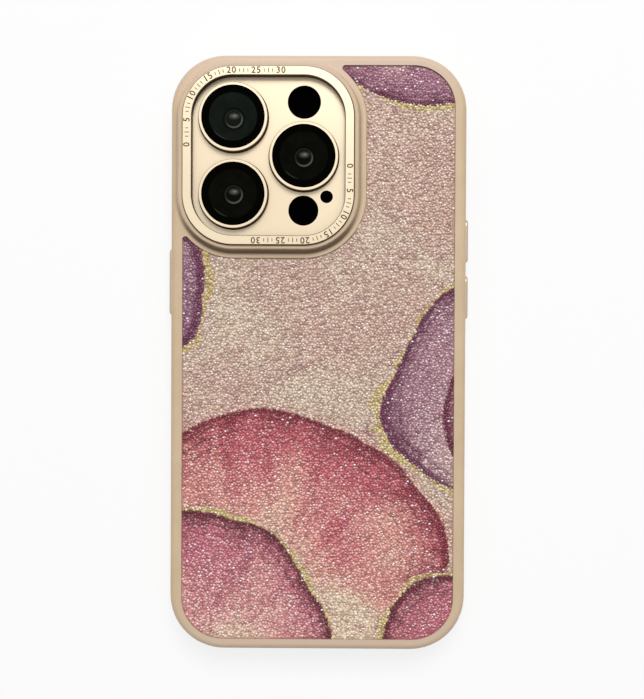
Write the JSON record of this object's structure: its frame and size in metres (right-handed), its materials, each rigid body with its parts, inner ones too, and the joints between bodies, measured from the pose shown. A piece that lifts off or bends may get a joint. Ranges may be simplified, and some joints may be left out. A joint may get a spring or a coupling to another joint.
{
  "type": "phone case",
  "caption": "Soft bumper case for a slab phone, with a glitter inlay on a hard back, a raised metal camera guard with glazed lens rings, and metal caps over the side keys.",
  "frame": {"origin": "middle of the case's outline, in the plane of the front rim that it lies on", "axes": "+X across the case towards the volume buttons, +Y along it towards the camera end, +Z out of its back"},
  "size_m": [0.0768, 0.151, 0.0142],
  "materials": {
    "soft_bumper": "matte champagne TPU",
    "hard_plate": "smooth",
    "printed_film": "ink marble print",
    "glitter_inlay": "fused glitter beads",
    "gold_metal": "satin pale gold anodised",
    "black_tape": "matt black adhesive",
    "lens_glass": "dark polished glass",
    "button_metal": "polished",
    "button_pad": "matte"
  },
  "bodies": {
    "case": {"bumper_frame": "soft_bumper", "back_plate": "hard_plate", "print_film": "printed_film", "glitter_sheet": "glitter_inlay", "camera_tape": "black_tape", "camera_ring": "gold_metal", "camera_deck": "gold_metal", "lens_ring_1": "gold_metal", "lens_seal_1": "black_tape", "lens_glass_1": "lens_glass", "lens_ring_2": "gold_metal", "lens_seal_2": "black_tape", "lens_glass_2": "lens_glass", "lens_ring_3": "gold_metal", "lens_seal_3": "black_tape", "lens_glass_3": "lens_glass"},
    "power_button": {"power_button_cap": "button_metal", "power_button_pad": "button_pad"},
    "volume_up_button": {"volume_up_button_cap": "button_metal", "volume_up_button_pad": "button_pad"},
    "volume_down_button": {"volume_down_button_cap": "button_metal", "volume_down_button_pad": "button_pad"}
  },
  "joints": [
    {"name": "power_press", "type": "slide", "parent": "case", "child": "power_button", "axis": [1, 0, 0], "range_m": [0, 0.00035], "stiffness_N_per_m": 2000},
    {"name": "volume_up_press", "type": "slide", "parent": "case", "child": "volume_up_button", "axis": [-1, 0, 0], "range_m": [0, 0.00035], "stiffness_N_per_m": 2000},
    {"name": "volume_down_press", "type": "slide", "parent": "case", "child": "volume_down_button", "axis": [-1, 0, 0], "range_m": [0, 0.00035], "stiffness_N_per_m": 2000}
  ]
}
